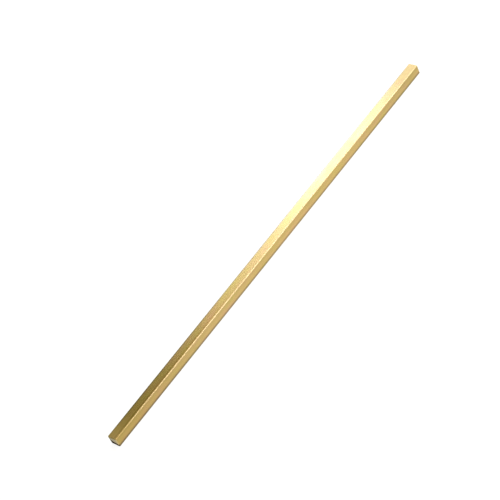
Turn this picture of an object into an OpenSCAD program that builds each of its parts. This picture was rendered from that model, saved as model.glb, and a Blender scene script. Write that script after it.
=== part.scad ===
// Square brass bar stock: one drawn length, sawn square at both ends and deburred.
// The bar lies along X on the plane z = 0. The origin is under its middle.
// All sizes are in millimetres.

/* [Stock] */
// Length of the piece, from one sawn end to the other
bar_length = 304.8; // [150:0.1:610]
// Width of the section, from the front face to the back face
bar_width = 6.35; // [4:0.05:20]
// Height of the section, from the face that it rests on to the top face
bar_height = 6.35; // [4:0.05:20]

/* [Edges] */
// Radius of the four long edges, as the drawing die leaves them
edge_radius = 0.4; // [0.1:0.05:1.5]
// Depth of the flat bevel that a file leaves along each edge of a sawn end
end_bevel = 0.5; // [0.05:0.05:1]

/* [Smoothness] */
// Number of sides of a full circle, for the long edges
edge_sides = 64; // [24:8:128]

/* [Hidden] */

brass_color = [0.80, 0.67, 0.36];

// Section of the bar: the drawn square with its corners rounded.
// It is centred on the first axis and stands on the second.
module section_profile() {
    corner_y = bar_width / 2 - edge_radius;
    corner_z = [edge_radius, bar_height - edge_radius];

    translate([-corner_y, 0])
        square([2 * corner_y, bar_height]);
    translate([-bar_width / 2, corner_z[0]])
        square([bar_width, corner_z[1] - corner_z[0]]);
    for (side = [-1, 1], z = corner_z)
        translate([side * corner_y, z])
            circle(r = edge_radius, $fn = edge_sides);
}

// Outline of the length seen from a side: a rectangle whose four corners are cut at 45 degrees.
// It is centred on the first axis and stands on the second.
module bevelled_outline(depth) {
    end_x = bar_length / 2;
    face_x = end_x - end_bevel;

    polygon([
        [-face_x, 0],
        [face_x, 0],
        [end_x, end_bevel],
        [end_x, depth - end_bevel],
        [face_x, depth],
        [-face_x, depth],
        [-end_x, depth - end_bevel],
        [-end_x, end_bevel]
    ]);
}

// The drawn length, with its ends still sharp
module drawn_length() {
    translate([-bar_length / 2, 0, 0])
        rotate([90, 0, 90])
            linear_extrude(bar_length)
                section_profile();
}

// Keeps what lies inside the bevels on the top and bottom edges of the ends
module top_and_bottom_bevels() {
    translate([0, bar_width / 2, 0])
        rotate([90, 0, 0])
            linear_extrude(bar_width)
                bevelled_outline(bar_height);
}

// Keeps what lies inside the bevels on the front and back edges of the ends
module front_and_back_bevels() {
    translate([0, -bar_width / 2, 0])
        linear_extrude(bar_height)
            bevelled_outline(bar_width);
}

// The whole bar: each end's four flat bevels run out into the rounded long edges
module bar() {
    color(brass_color)
        intersection() {
            drawn_length();
            top_and_bottom_bevels();
            front_and_back_bevels();
        }
}

bar();
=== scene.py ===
"""Looks of a drawn brass bar: a square length of stock lying on a pale studio floor.

The bar is built ring by ring along its length, with the section, the rounded edges and the end
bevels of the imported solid, and with what a real length of stock carries besides: faces that are
very slightly uneven, small knocks along the edges, saw marks on the ends, and a torn lower part
on the left end.
Lengths are in metres, in the part's own frame: +X along the bar, +Y to its back, +Z up.
"""
import math
import random
from collections import namedtuple

import bpy
import numpy as np
from mathutils import Matrix, Vector, noise


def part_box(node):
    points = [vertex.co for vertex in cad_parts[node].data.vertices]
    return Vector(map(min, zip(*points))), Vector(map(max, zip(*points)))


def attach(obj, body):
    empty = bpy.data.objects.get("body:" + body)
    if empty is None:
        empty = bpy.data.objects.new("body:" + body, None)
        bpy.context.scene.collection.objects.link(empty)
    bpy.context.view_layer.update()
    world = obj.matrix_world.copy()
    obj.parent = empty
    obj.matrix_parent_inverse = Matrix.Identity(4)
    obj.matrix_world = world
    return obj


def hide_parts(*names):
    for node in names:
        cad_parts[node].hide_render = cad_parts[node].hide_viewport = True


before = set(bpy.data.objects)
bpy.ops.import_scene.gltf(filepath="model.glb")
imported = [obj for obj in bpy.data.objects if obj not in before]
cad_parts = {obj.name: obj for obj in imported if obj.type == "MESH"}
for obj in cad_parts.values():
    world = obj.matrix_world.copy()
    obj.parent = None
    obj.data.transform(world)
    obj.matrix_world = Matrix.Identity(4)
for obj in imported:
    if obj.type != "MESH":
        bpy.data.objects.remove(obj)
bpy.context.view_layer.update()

# Sizes of the bar, read from the frame, and its two edge sizes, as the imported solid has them
MM = 0.001
BAR_LOW, BAR_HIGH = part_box("bar")
HALF_LENGTH = (BAR_HIGH[0] - BAR_LOW[0]) / 2
HALF_WIDTH = (BAR_HIGH[1] - BAR_LOW[1]) / 2
HEIGHT = BAR_HIGH[2] - BAR_LOW[2]
EDGE_RADIUS = 0.4 * MM
END_BEVEL = 0.5 * MM
SECTION_CENTRE = np.array((0.0, HEIGHT / 2))

QUARTER_TURN = math.pi / 2
EIGHTH_TURN = math.pi / 4

# The two ends, as the side of the origin that each lies on
LEFT = -1
RIGHT = 1

# The bar's materials, as their places on its list
DRAWN = 0
FILED = 1
SAWN = 2

# Fineness of the mesh: steps round half of an edge, steps across a flat, how far apart the rings
# along the bar are, and the least gap between two of them
HALF_EDGE_STEPS = 5
FLAT_STEPS = 24
RING_SPACING = 1.1 * MM
LEAST_RING_GAP = 0.04 * MM
# Extra rings near the ends, by how far they lie from the end bevel
END_RINGS = (0.15 * MM, 0.4 * MM, 0.7 * MM)
# Faces that meet at more than this look sharp where they meet
SHARP_ANGLE = math.radians(35)

# Unevenness of the long faces: how deep, and how long each swell is along and across the bar
SWELL_DEPTH = 0.015 * MM
SWELL_LENGTH = 34 * MM
SWELL_BREADTH = 5 * MM

# Small knocks along the four long edges: how many, the share of the length that has them, the
# least and the most that they measure, and how far they are turned off an edge's own direction
KNOCK_SEED = 11
KNOCKS_PER_EDGE = 7
KNOCK_SPREAD = 0.97
KNOCK_HALF_LENGTH = (0.25 * MM, 0.9 * MM)
KNOCK_DEPTH = (0.02 * MM, 0.07 * MM)
KNOCK_TWIST = math.radians(18)
# Rings over a knock, as shares of its half length
KNOCK_RINGS = (-1.0, -0.66, -0.33, 0.0, 0.33, 0.66, 1.0)

# Saw marks on the end faces: shallow ridges that lean a little and waver by a share of their pitch
SAW_DEPTH = 0.014 * MM
SAW_PITCH = 0.85 * MM
SAW_LEAN = math.radians(12)
SAW_WAVER = 0.35
SAW_WAVER_LENGTH = 1.6 * MM
# How far inside the end bevels the marks of the cut reach their full depth
MARKS_FADE = 0.3 * MM

# The lower part of the left end tore when the piece was cut off. Its upper limit: how high it is
# in the middle, how steeply it rises to the back, how far it wavers and over what length
TORN_TOP = 2.9 * MM
TORN_RISE = 0.3
TORN_WAVER = 0.2 * MM
TORN_WAVER_LENGTH = 1.5 * MM
# The limit's height on the filed bevels, where it is level
TORN_FILED_TOP = 1.6 * MM
# Height over which the surface goes from sawn to torn, and half the height over which the painted dark
# shade fades in
TORN_SLOPE = 0.3 * MM
TORN_SOFTNESS = 0.5 * MM
# How far the torn surface lies inside the sawn one, how deep its grain is, and the size of a grain
TORN_STEP = 0.05 * MM
TORN_DEPTH = 0.10 * MM
TORN_GRAIN = 0.45 * MM
# How far the torn part has pulled in at its lower back corner, and the breadth that this takes
TORN_LEAN = 0.22 * MM
TORN_LEAN_BREADTH = 1.5 * HALF_WIDTH

# Nearly all of a noise lies between these two values, though it can run from 0 to 1
NOISE_LOW = 0.3
NOISE_HIGH = 0.7
# Length along the bar of the patches on the two ends
END_PATCH_LENGTH = 1 * MM

# Half the breadth of the floor
FLOOR_REACH = 12.0

# The camera, found from the bar's corners in the photograph
CAMERA_PLACE = Vector((-423.6, -607.6, 665.5)) * MM
CAMERA_RIGHT = Vector((0.57306, -0.74623, -0.33875))
CAMERA_AHEAD = Vector((0.41554, 0.62086, -0.66473))
CAMERA_FOCUS_PX = 1722.2
PHOTO_PX = 500
SENSOR_WIDTH = 36.0


# Shape of the bar

def held(value, low=0.0, high=1.0):
    """A value, kept between two limits."""
    return min(high, max(low, value))


def to_unit(wave):
    """A value that swings from -1 to 1, as one that swings from 0 to 1."""
    return 0.5 + 0.5 * wave


def section_outline():
    """Points and outward normals round the section, four equal runs, each from one edge's middle
    to the next one's. The first run crosses the top face from the back edge to the front one."""
    points, normals = [], []
    for run in range(4):
        turn = Matrix.Rotation(run * QUARTER_TURN, 2)
        half_across, half_up = (HALF_WIDTH, HEIGHT / 2) if run % 2 == 0 else (HEIGHT / 2, HALF_WIDTH)
        corner = half_across - EDGE_RADIUS
        stations = [(corner, EIGHTH_TURN * (1 + k / HALF_EDGE_STEPS)) for k in range(HALF_EDGE_STEPS)]
        stations += [(share * corner, QUARTER_TURN) for share in flat_shares(half_across)]
        stations += [(-corner, QUARTER_TURN + EIGHTH_TURN * k / HALF_EDGE_STEPS)
                     for k in range(1, HALF_EDGE_STEPS)]
        for across, angle in stations:
            normal = Vector((math.cos(angle), math.sin(angle)))
            place = turn @ (Vector((across, half_up - EDGE_RADIUS)) + EDGE_RADIUS * normal)
            points.append((place.x, place.y + HEIGHT / 2))
            normals.append(tuple(turn @ normal))
    return np.array(points), np.array(normals)


def flat_shares(half_across):
    """Where the points lie across a flat, from +1 to -1, with one just over each end bevel."""
    crease = (half_across - END_BEVEL) / (half_across - EDGE_RADIUS)
    inner = np.linspace(crease, -crease, FLAT_STEPS - 1)
    return [1.0, *inner, -1.0]


# A knock: its place along the bar, its direction out of the bar, half its length, and its depth
Knock = namedtuple("Knock", "place out half_length depth")


def make_knocks():
    """The knocks of all four long edges, one edge after the other."""
    draw = random.Random(KNOCK_SEED)
    knocks = []
    for edge in range(4):
        for _ in range(KNOCKS_PER_EDGE):
            angle = EIGHTH_TURN + edge * QUARTER_TURN + draw.uniform(-KNOCK_TWIST, KNOCK_TWIST)
            knocks.append(Knock(
                place=draw.uniform(-KNOCK_SPREAD, KNOCK_SPREAD) * HALF_LENGTH,
                out=np.array((math.cos(angle), math.sin(angle))),
                half_length=draw.uniform(*KNOCK_HALF_LENGTH),
                depth=draw.uniform(*KNOCK_DEPTH),
            ))
    return knocks


def ring_places(knocks):
    """Places of the rings along the bar: evenly spaced, and closer over each knock and near the ends."""
    last = HALF_LENGTH - END_BEVEL
    count = round(2 * last / RING_SPACING)
    places = set(np.linspace(-last, last, count + 1)[1:-1])
    for knock in knocks:
        places.update(knock.place + share * knock.half_length for share in KNOCK_RINGS)
    for inset in END_RINGS:
        places.update((inset - last, last - inset))
    kept = []
    for place in sorted(places):
        if not kept or place - kept[-1] > LEAST_RING_GAP:
            kept.append(place)
    return kept


def swell(x, y, z):
    """How far the drawn surface lies under the true face, at a point."""
    place = Vector((x / SWELL_LENGTH, y / SWELL_BREADTH, z / SWELL_BREADTH))
    return SWELL_DEPTH * to_unit(held(noise.noise(place), -1.0, 1.0))


def knock_in(x, points, knocks):
    """Flattens the points of one ring where a knock has hit an edge."""
    for knock in knocks:
        share = (x - knock.place) / knock.half_length
        if abs(share) >= 1:
            continue
        reach = (points - SECTION_CENTRE) @ knock.out
        limit = reach.max() - knock.depth * (1 - share * share)
        points = points - np.outer(np.maximum(reach - limit, 0), knock.out)
    return points


def saw_mark(y, z):
    """How far a sawn face lies under its true plane, at a point."""
    along = y * math.cos(SAW_LEAN) + z * math.sin(SAW_LEAN)
    waver = SAW_WAVER * noise.noise(Vector((y, z, 0)) / SAW_WAVER_LENGTH)
    return SAW_DEPTH * to_unit(math.sin(2 * math.pi * (along / SAW_PITCH + waver)))


def torn_share(y, z):
    """1 on the torn part of the left end, 0 above it, with a short slope between them."""
    waver = TORN_WAVER * noise.noise(Vector((y / TORN_WAVER_LENGTH, 0, 0)))
    limit = TORN_TOP + TORN_RISE * y + waver
    return held((limit - z) / TORN_SLOPE + 0.5)


def torn_mark(y, z):
    """How far the torn surface lies under the sawn one, at a point."""
    return TORN_STEP + TORN_DEPTH * to_unit(noise.noise(Vector((y, z, 0)) / TORN_GRAIN))


def torn_lean(y, z):
    """How far the torn part has pulled in towards its lower back corner, at a point."""
    to_back = held((y + HALF_WIDTH) / TORN_LEAN_BREADTH)
    to_foot = held(1 - z / TORN_TOP)
    return TORN_LEAN * to_back * to_foot


def rim_inset(y, z):
    """How far a point of an end lies inside the nearest of its four edges."""
    return min(HALF_WIDTH - abs(y), z, HEIGHT - z)


def end_point(side, y, z):
    """A point on an end's surface. It lies inside the bar's last plane by the end bevel, or by the
    torn part's lean where that is deeper, and by the marks of the cut."""
    inset = rim_inset(y, z)
    depth = max(0.0, END_BEVEL - inset)
    marks = saw_mark(y, z)
    if side == LEFT:
        torn = torn_share(y, z)
        depth = max(depth, torn_lean(y, z))
        marks = (1 - torn) * marks + torn * torn_mark(y, z)
    depth += held((inset - END_BEVEL) / MARKS_FADE) * marks
    return side * (HALF_LENGTH - depth), y, z


def end_grid(outline):
    """Points (y, z) in a square grid that fills the outline, which is the grid's border. Its first
    index runs from the back to the front, and its second one from the top to the foot."""
    count = len(outline)
    steps = count // 4
    top, front, bottom, back = (
        np.array([outline[(run * steps + k) % count] for k in range(steps + 1)]) for run in range(4))
    bottom, back = bottom[::-1], back[::-1]
    grid = np.zeros((steps + 1, steps + 1, 2))
    for i in range(steps + 1):
        for j in range(steps + 1):
            forward, down = i / steps, j / steps
            grid[i, j] = (
                (1 - down) * top[i] + down * bottom[i] + (1 - forward) * back[j] + forward * front[j]
                - (1 - forward) * (1 - down) * top[0] - forward * (1 - down) * top[steps]
                - (1 - forward) * down * bottom[0] - forward * down * bottom[steps])
    return grid


def bar_rings(outline, normals):
    """The rings of points that make the long faces, from the left end's rim to the right end's."""
    knocks = make_knocks()
    rings = [[end_point(LEFT, y, z) for y, z in outline]]
    for x in ring_places(knocks):
        sunk = np.array([swell(x, y, z) for y, z in outline])
        points = knock_in(x, outline - normals * sunk[:, None], knocks)
        rings.append([(x, y, z) for y, z in points])
    rings.append([end_point(RIGHT, y, z) for y, z in outline])
    return rings


def tube_faces(rings, count):
    """Quads between each ring and the next one. Their points are numbered ring after ring."""
    faces = []
    for near in range(0, (rings - 1) * count, count):
        far = near + count
        for k in range(count):
            following = (k + 1) % count
            faces.append((near + k, near + following, far + following, far + k))
    return faces


def add_end(vertices, outline, rim, side):
    """Fills an end, whose rim's points are numbered from rim on. Adds the inner points to the
    vertices, and gives the faces and the material of each."""
    count = len(outline)
    steps = count // 4
    number = [[None] * (steps + 1) for _ in range(steps + 1)]
    for k in range(steps + 1):
        number[k][0] = rim + k
        number[steps][k] = rim + (steps + k) % count
        number[steps - k][steps] = rim + (2 * steps + k) % count
        number[0][steps - k] = rim + (3 * steps + k) % count
    grid = end_grid(outline)
    for i in range(1, steps):
        for j in range(1, steps):
            number[i][j] = len(vertices)
            vertices.append(end_point(side, *grid[i, j]))

    faces, looks = [], []
    for i in range(steps):
        for j in range(steps):
            quad = (number[i][j], number[i + 1][j], number[i + 1][j + 1], number[i][j + 1])
            _, y, z = np.mean([vertices[k] for k in quad], axis=0)
            faces.append(quad if side == LEFT else quad[::-1])
            looks.append(FILED if rim_inset(y, z) < END_BEVEL else SAWN)
    return faces, looks


def bar_mesh():
    """The whole bar as one closed mesh of quads."""
    outline, normals = section_outline()
    rings = bar_rings(outline, normals)
    vertices = [point for ring in rings for point in ring]
    faces = tube_faces(len(rings), len(outline))
    looks = [DRAWN] * len(faces)
    last_rim = len(vertices) - len(outline)
    for rim, side in ((0, LEFT), (last_rim, RIGHT)):
        end_faces, end_looks = add_end(vertices, outline, rim, side)
        faces += end_faces
        looks += end_looks

    mesh = bpy.data.meshes.new("brass_bar")
    mesh.from_pydata(vertices, [], faces)
    mesh.validate()
    mesh.polygons.foreach_set("material_index", looks)
    mesh.shade_smooth()
    mesh.set_sharp_from_angle(angle=SHARP_ANGLE)
    return mesh


# Materials

class Look:
    """A new material with only a Principled shader, and short ways to add to its nodes.

    A value is a number, a colour as red, green and blue, or another node's output. A zone is a
    pair of places, where a change starts and where it is complete."""

    # A mix node's colour sockets, by number, because its other kinds' sockets have the same names
    MIX_SHARE = 0
    MIX_FIRST = 6
    MIX_SECOND = 7
    MIX_RESULT = 2

    def __init__(self, name):
        self.material = bpy.data.materials.new(name)
        self.material.use_nodes = True
        self.tree = self.material.node_tree
        self.shader = self.tree.nodes["Principled BSDF"]

    def add(self, kind, **settings):
        """A new node. Each setting is a number for one of its inputs, or one of its properties."""
        node = self.tree.nodes.new(kind)
        for key, value in settings.items():
            if key in node.inputs:
                node.inputs[key].default_value = value
            else:
                setattr(node, key, value)
        return node

    def feed(self, socket, value):
        """Gives a value to a node's input."""
        if isinstance(value, bpy.types.NodeSocket):
            self.tree.links.new(value, socket)
        elif isinstance(value, tuple):
            socket.default_value = (*value, 1.0)
        else:
            socket.default_value = value

    def show(self, name, value):
        """Gives a value to one of the shader's own inputs."""
        self.feed(self.shader.inputs[name], value)

    def point(self, kind="Object"):
        """X, Y and Z of a point in the bar's own frame, or of the surface's normal there."""
        place = self.add("ShaderNodeTexCoord")
        parts = self.add("ShaderNodeSeparateXYZ")
        self.feed(parts.inputs["Vector"], place.outputs[kind])
        return [parts.outputs[axis] for axis in "XYZ"]

    def patches(self, lengths, detail=3.0):
        """A noise whose patches have the given lengths along X, Y and Z."""
        place = self.add("ShaderNodeTexCoord")
        mapping = self.add("ShaderNodeMapping")
        mapping.inputs["Scale"].default_value = [1 / length for length in lengths]
        self.feed(mapping.inputs["Vector"], place.outputs["Object"])
        texture = self.add("ShaderNodeTexNoise", Scale=1.0, Detail=detail, Roughness=0.55)
        self.feed(texture.inputs["Vector"], mapping.outputs["Vector"])
        return texture.outputs["Fac"]

    def ramp(self, value, stops):
        """A colour ramp over a value. Each stop is a place and a colour."""
        node = self.add("ShaderNodeValToRGB")
        elements = node.color_ramp.elements
        while len(elements) < len(stops):
            elements.new(0.5)
        for element, (place, colour) in zip(elements, stops):
            element.position = place
            element.color = (*colour, 1.0)
        self.feed(node.inputs["Fac"], value)
        return node.outputs["Color"]

    def blend(self, share, first, second, kind="MIX"):
        """A colour that goes from the first to the second one with the share."""
        node = self.add("ShaderNodeMix", data_type="RGBA", blend_type=kind)
        self.feed(node.inputs[self.MIX_SHARE], share)
        self.feed(node.inputs[self.MIX_FIRST], first)
        self.feed(node.inputs[self.MIX_SECOND], second)
        return node.outputs[self.MIX_RESULT]

    def tinted(self, colour, share, tint):
        """A colour multiplied by a tint, as far as the share says."""
        return self.blend(share, colour, tint, "MULTIPLY")

    def mottled(self, colour, texture, darkest):
        """A colour that is darkened in the low parts of a noise, at the most to a share of itself."""
        shade = self.ramp(texture, [(NOISE_LOW, (darkest,) * 3), (NOISE_HIGH, (1.0,) * 3)])
        return self.tinted(colour, 1.0, shade)

    def to_range(self, value, low, high, zone=(0.0, 1.0)):
        """Goes from low to high while a value goes through a zone, and no further."""
        node = self.add("ShaderNodeMapRange")
        self.feed(node.inputs["Value"], value)
        self.feed(node.inputs["From Min"], zone[0])
        self.feed(node.inputs["From Max"], zone[1])
        self.feed(node.inputs["To Min"], low)
        self.feed(node.inputs["To Max"], high)
        return node.outputs["Result"]

    def before(self, value, zone):
        """1 where a value hasn't come to a zone, 0 where it is past it, and a slope between."""
        return self.to_range(value, 1.0, 0.0, zone)

    def past(self, value, zone):
        """0 where a value hasn't come to a zone, 1 where it is past it, and a slope between."""
        return self.to_range(value, 0.0, 1.0, zone)

    def maths(self, operation, *values):
        """One operation on one or two values."""
        node = self.add("ShaderNodeMath", operation=operation)
        for socket, value in zip(node.inputs, values):
            self.feed(socket, value)
        return node.outputs["Value"]

    def product(self, first, *others):
        """Several values, multiplied."""
        for other in others:
            first = self.maths("MULTIPLY", first, other)
        return first

    def bump(self, height, depth, normal=None):
        """A bump of the given depth in metres, on top of another normal if there is one."""
        node = self.add("ShaderNodeBump", Strength=1.0, Distance=depth)
        self.feed(node.inputs["Height"], height)
        if normal is not None:
            self.feed(node.inputs["Normal"], normal)
        return node.outputs["Normal"]


# Where a point of the drawn faces lies: its place along the bar, its distance from the nearer end,
# from each long face, and from the nearer one of the top and the foot, and whether it is on a side
# face or on a level one
Spot = namedtuple(
    "Spot", "along from_end from_front from_back from_top from_foot from_level on_side on_level")


def find_spot(look):
    """Where the shaded point lies on the drawn faces."""
    along, across, up = look.point()
    from_top = look.maths("SUBTRACT", HEIGHT, up)
    on_side = look.maths("ABSOLUTE", look.point("Normal")[1])
    return Spot(
        along=along,
        from_end=look.maths("SUBTRACT", HALF_LENGTH, look.maths("ABSOLUTE", along)),
        from_front=look.maths("ADD", across, HALF_WIDTH),
        from_back=look.maths("SUBTRACT", HALF_WIDTH, across),
        from_top=from_top,
        from_foot=up,
        from_level=look.maths("MINIMUM", from_top, up),
        on_side=on_side,
        on_level=look.maths("SUBTRACT", 1.0, on_side),
    )


def clouded_gold(look):
    """Bright gold in clouds, from greenish to warm."""
    clouds = look.patches((11 * MM, 4 * MM, 4 * MM))
    return look.ramp(clouds, [
        (0.30, (0.575, 0.449, 0.134)),
        (0.46, (0.596, 0.433, 0.153)),
        (0.60, (0.611, 0.422, 0.167)),
        (0.74, (0.630, 0.399, 0.187)),
    ])


def shade_beside_ridge(look, colour, spot):
    """A faint darker line on the front below the ridge, and one on the top behind it at the left."""
    below_band = (1.2 * MM, 1.9 * MM)
    below_tint = (0.92, 0.92, 0.94)
    behind_band = (1.4 * MM, 2.3 * MM)
    behind_zone = (-75 * MM, -30 * MM)
    behind_tint = (0.83, 0.77, 0.62)

    from_ridge = look.maths("MAXIMUM", spot.from_front, spot.from_top)
    below = look.product(spot.on_side, look.before(from_ridge, below_band))
    colour = look.tinted(colour, below, below_tint)
    behind = look.product(spot.on_level, look.before(from_ridge, behind_band))
    behind = look.product(behind, look.before(spot.along, behind_zone))
    return look.tinted(colour, behind, behind_tint)


def paint_edge_highlight(look, spot):
    """1 on the two front edges, where a paler gold is painted as a highlight, and hardly anything at the
    left end.
    """
    band = (0.6 * EDGE_RADIUS, 2.0 * EDGE_RADIUS)
    left_zone = (-HALF_LENGTH, 18 * MM - HALF_LENGTH)
    left_share = 0.05

    from_edge = look.maths("MAXIMUM", spot.from_front, spot.from_level)
    kept = look.to_range(spot.along, left_share, 1.0, left_zone)
    return look.product(look.before(from_edge, band), kept)


def shade_back_edges(look, colour, spot):
    """A painted dark line of shade along the two back edges, thinner and bluer from the left end to the
    middle.
    """
    band = (1.6 * EDGE_RADIUS, 3.8 * EDGE_RADIUS)
    zone = (-HALF_LENGTH, 10 * MM)
    left_shade = (0.58, 0.65, 0.88)
    right_tint = (0.95, 0.99, 1.20)

    from_edge = look.maths("MAXIMUM", spot.from_back, spot.from_level)
    edge_shade = look.blend(look.past(spot.along, zone), left_shade, right_tint)
    return look.tinted(colour, look.before(from_edge, band), edge_shade)


def paint_end_highlight(look, colour, spot):
    """Paler gold painted on the top and the foot near the ends, a painted highlight where they reflect
    more light.
    """
    zone = (0.0, 16 * MM)
    most = 0.6
    end_highlight_gold = (0.83, 0.60, 0.26)

    # Share of the painted highlight near the ends
    cleaned = look.product(spot.on_level, look.to_range(spot.from_end, most, 0.0, zone))
    return look.blend(cleaned, colour, end_highlight_gold)


def tint_side_faces(look, colour, spot):
    """Side faces that are darker towards both ends, and a little paler on the right half, a painted light
    for the brighter lighting there.
    """
    end_start = 75 * MM
    end_full = 15 * MM
    for zone, tint in (
        ((end_start - HALF_LENGTH, end_full - HALF_LENGTH), (0.86, 0.83, 0.72)),
        # Painted light: the right half of the side faces made paler
        ((-100 * MM, 20 * MM), (1.08, 1.07, 1.06)),
        ((HALF_LENGTH - end_start, HALF_LENGTH - end_full), (0.87, 0.89, 0.87)),
    ):
        share = look.product(spot.on_side, look.past(spot.along, zone))
        colour = look.tinted(colour, share, tint)
    return colour


def paint_foot_shadow(look, colour, spot):
    """Side faces with a painted contact shadow along the foot, darkest at the left end."""
    band = (0.9 * MM, 2.0 * MM)
    zone = (-HALF_LENGTH, 0.0)
    right_share = 0.72
    # Colour of the painted contact shadow
    tint = (0.42, 0.43, 0.56)

    foot = look.product(spot.on_side, look.before(spot.from_foot, band))
    foot = look.product(foot, look.to_range(spot.along, 1.0, right_share, zone))
    return look.tinted(colour, foot, tint)


def drawn_roughness(look, spot, streaks, edge_highlight):
    """A low roughness that varies with the streaks, with more on the front edges under the painted
    highlight and near the ends.
    """
    more_on_edges = 0.15
    more_at_ends = 0.06
    end_zone = (1 * MM, 18 * MM)

    roughness = look.to_range(streaks, low=0.245, high=0.300)
    roughness = look.maths("ADD", roughness, look.product(edge_highlight, more_on_edges))
    return look.maths("ADD", roughness, look.to_range(spot.from_end, more_at_ends, 0.0, end_zone))


def drawn_relief(look):
    """Fine lines along the bar, on faces with slow and very shallow waves."""
    waves = look.patches((14 * MM, 2.5 * MM, 2.5 * MM), detail=1.0)
    lines = look.patches((90 * MM, 0.12 * MM, 0.12 * MM), detail=2.0)
    normal = look.bump(waves, depth=0.008 * MM)
    return look.bump(lines, depth=0.002 * MM, normal=normal)


def drawn_brass():
    """Bright drawn brass, brushed along the bar."""
    look = Look("drawn_brass")
    spot = find_spot(look)
    streaks = look.patches((60 * MM, 0.5 * MM, 0.5 * MM), detail=4.0)
    blotches = look.patches((6 * MM, 3 * MM, 3 * MM))
    edge_highlight = paint_edge_highlight(look, spot)
    # A paler gold painted on the two front edges as a highlight
    edge_highlight_gold = (0.745, 0.557, 0.30)

    colour = clouded_gold(look)
    colour = shade_beside_ridge(look, colour, spot)
    # Painted highlight: the paler gold on the two front edges
    colour = look.blend(edge_highlight, colour, edge_highlight_gold)
    # Painted shade: a dark line along the two back edges
    colour = shade_back_edges(look, colour, spot)
    colour = paint_end_highlight(look, colour, spot)
    colour = tint_side_faces(look, colour, spot)
    colour = paint_foot_shadow(look, colour, spot)
    colour = look.mottled(colour, streaks, darkest=0.90)
    colour = look.mottled(colour, blotches, darkest=0.92)
    tangent = look.add("ShaderNodeTangent", direction_type="RADIAL", axis="X")

    look.show("Base Color", colour)
    look.show("Metallic", 1.0)
    look.show("Roughness", drawn_roughness(look, spot, streaks, edge_highlight))
    look.show("Anisotropic", 0.1)
    look.show("Tangent", tangent.outputs["Tangent"])
    look.show("Normal", drawn_relief(look))
    return look.material


def show_cut_brass(look, colour, top, rise):
    """Bare brass of the given colour, and a painted shade of near-black brown where the left end is torn.

    Top is the torn part's upper limit in the middle, and rise is how steeply it climbs to the back."""
    x, y, z = look.point()
    wavering = look.patches((END_PATCH_LENGTH, TORN_WAVER_LENGTH, TORN_WAVER_LENGTH))
    height = look.maths("ADD", z, look.to_range(wavering, -TORN_WAVER, TORN_WAVER))
    above = look.maths("SUBTRACT", height, look.product(y, rise))
    torn = look.before(above, (top - TORN_SOFTNESS, top + TORN_SOFTNESS))
    torn = look.product(torn, look.maths("LESS_THAN", x, 0.0))
    speck = 0.5 * TORN_GRAIN
    # Painted shade: near-black brown on the torn lower part of the left end, where it reflects the
    # shadowed floor
    painted_shade = look.ramp(look.patches((END_PATCH_LENGTH, speck, speck)), [
        (0.35, (0.010, 0.006, 0.002)),
        (0.62, (0.055, 0.036, 0.013)),
        (0.76, (0.300, 0.200, 0.080)),
    ])

    look.show("Base Color", look.blend(torn, colour, painted_shade))
    look.show("Metallic", look.maths("SUBTRACT", 1.0, torn))
    look.show("Specular IOR Level", 0.0)


def filed_brass():
    """The end bevels: brass cleaned by a file, grainier and duller than the drawn faces."""
    look = Look("filed_brass")
    grain = look.patches((0.15 * MM, 0.6 * MM, 0.6 * MM))
    colour = look.ramp(grain, [(NOISE_LOW, (0.49, 0.375, 0.165)), (NOISE_HIGH, (0.62, 0.48, 0.225))])

    show_cut_brass(look, colour, top=TORN_FILED_TOP, rise=0.0)
    look.show("Roughness", look.to_range(grain, low=0.40, high=0.55))
    look.show("Normal", look.bump(grain, depth=0.01 * MM))
    return look.material


def sawn_brass():
    """The sawn ends: duller brass with fine parallel scratches, and painted shade towards the back."""
    look = Look("sawn_brass")
    blotches = look.patches((END_PATCH_LENGTH, 1.8 * MM, 1.8 * MM))
    scratches = look.patches((END_PATCH_LENGTH, 0.07 * MM, 1.6 * MM), detail=2.0)
    colour = look.ramp(blotches, [(NOISE_LOW, (0.42, 0.35, 0.19)), (NOISE_HIGH, (0.54, 0.45, 0.26))])
    back_zone = (-0.6 * HALF_WIDTH, 0.6 * HALF_WIDTH)
    back_shade = (0.70, 0.72, 0.75)

    colour = look.mottled(colour, scratches, darkest=0.75)
    # Painted shade towards the back of the ends
    colour = look.tinted(colour, look.past(look.point()[1], back_zone), back_shade)
    show_cut_brass(look, colour, top=TORN_TOP, rise=TORN_RISE)
    look.show("Roughness", look.to_range(scratches, low=0.38, high=0.6))
    look.show("Normal", look.bump(scratches, depth=0.02 * MM))
    return look.material


def pale_floor():
    """A plain matt floor, lit from below as a photo table is, which makes it nearly white."""
    look = Look("pale_floor")
    look.show("Base Color", (0.20, 0.205, 0.215))
    look.show("Emission Color", (1.0, 1.0, 1.0))
    look.show("Emission Strength", 0.85)
    look.show("Roughness", 0.8)
    look.show("Specular IOR Level", 0.1)
    return look.material


# Pieces, floor, lights and camera

def add_object(name, data):
    """Puts a mesh, a light or a camera in the scene."""
    thing = bpy.data.objects.new(name, data)
    bpy.context.scene.collection.objects.link(thing)
    return thing


def add_bar():
    """The whole bar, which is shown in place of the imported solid."""
    bar = add_object("brass_bar", bar_mesh())
    for material in (drawn_brass(), filed_brass(), sawn_brass()):
        bar.data.materials.append(material)
    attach(bar, "root")
    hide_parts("bar")


def add_floor():
    """A wide floor, which the bar lies on."""
    mesh = bpy.data.meshes.new("floor")
    corners = [(x * FLOOR_REACH, y * FLOOR_REACH, 0) for x, y in ((-1, -1), (1, -1), (1, 1), (-1, 1))]
    mesh.from_pydata(corners, [], [(0, 1, 2, 3)])
    mesh.materials.append(pale_floor())
    floor = add_object("floor", mesh)


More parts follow.
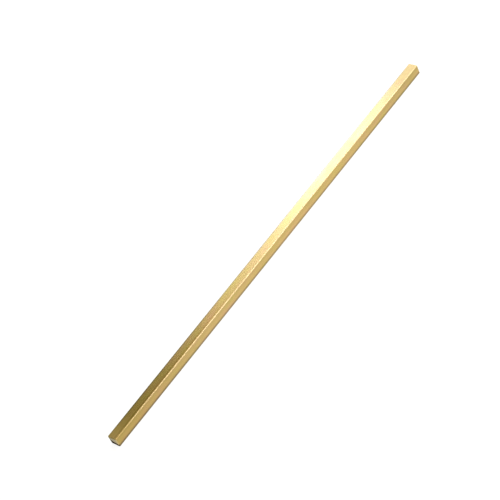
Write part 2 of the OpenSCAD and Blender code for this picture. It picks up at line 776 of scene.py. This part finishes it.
def add_softbox(name, place, size, brightness, colour):
    """A rectangular light that faces the bar. Brightness is what a mirror would show of it."""
    light = bpy.data.lights.new(name, "AREA")
    light.shape = "RECTANGLE"
    light.size, light.size_y = size
    light.energy = brightness * math.pi * size[0] * size[1]
    light.color = colour
    box = add_object(name, light)
    box.location = place
    box.rotation_euler = Vector(place).to_track_quat("Z", "Y").to_euler()
    box.visible_camera = False


def add_lights():
    """Soft lights behind the bar, above it and in front of it, each with its place, size,
    brightness and colour."""
    add_softbox("softbox_back_right", (0.511, 0.55, 0.60), (0.186, 0.34), 4.73, (0.83, 0.92, 1.44))
    add_softbox("strip_back", (0.304, 0.55, 0.60), (0.056, 0.34), 2.1, (1.02, 1.01, 1.03))
    add_softbox("softbox_above_right", (0.95, -0.10, 1.25), (1.2, 0.9), 5.9, (1.0, 0.98, 0.96))
    add_softbox("softbox_above_left", (-0.60, -0.20, 1.25), (0.8, 0.9), 2.7, (1.0, 1.0, 1.02))
    add_softbox("softbox_front", (0.32, -0.95, 0.52), (0.44, 0.36), 5.2, (1.0, 1.0, 1.10))
    add_softbox("card_front", (0.45, -0.95, 0.20), (1.5, 0.3), 1.0, (1.0, 1.0, 1.10))


def set_surroundings():
    """A dim studio for reflections and fill, and a pale backdrop where the camera sees past the floor."""
    world = bpy.data.worlds.new("studio")
    world.use_nodes = True
    tree = world.node_tree
    dim = tree.nodes["Background"]
    dim.inputs["Color"].default_value = (1.0, 0.95, 0.40, 1.0)
    dim.inputs["Strength"].default_value = 0.30
    pale = tree.nodes.new("ShaderNodeBackground")
    pale.inputs["Color"].default_value = (0.93, 0.93, 0.93, 1.0)
    path = tree.nodes.new("ShaderNodeLightPath")
    # The mix's first shader is for light and reflections, and its second one for the camera
    mix = tree.nodes.new("ShaderNodeMixShader")
    tree.links.new(path.outputs["Is Camera Ray"], mix.inputs["Fac"])
    tree.links.new(dim.outputs["Background"], mix.inputs[1])
    tree.links.new(pale.outputs["Background"], mix.inputs[2])
    tree.links.new(mix.outputs["Shader"], tree.nodes["World Output"].inputs["Surface"])
    bpy.context.scene.world = world


def add_camera():
    """A camera where the photograph was taken from, with its angle of view."""
    data = bpy.data.cameras.new("camera")
    data.sensor_fit = "HORIZONTAL"
    data.sensor_width = SENSOR_WIDTH
    data.lens = CAMERA_FOCUS_PX / PHOTO_PX * SENSOR_WIDTH
    data.clip_start = 0.01
    camera = add_object("camera", data)
    ahead = CAMERA_AHEAD.normalized()
    right = (CAMERA_RIGHT - CAMERA_RIGHT.dot(ahead) * ahead).normalized()
    up = right.cross(ahead)
    turn = Matrix((right, up, -ahead)).transposed()
    camera.matrix_world = Matrix.Translation(CAMERA_PLACE) @ turn.to_4x4()
    bpy.context.scene.camera = camera


bpy.context.scene.view_settings.view_transform = "Standard"
add_bar()
add_floor()
add_lights()
set_surroundings()
add_camera()
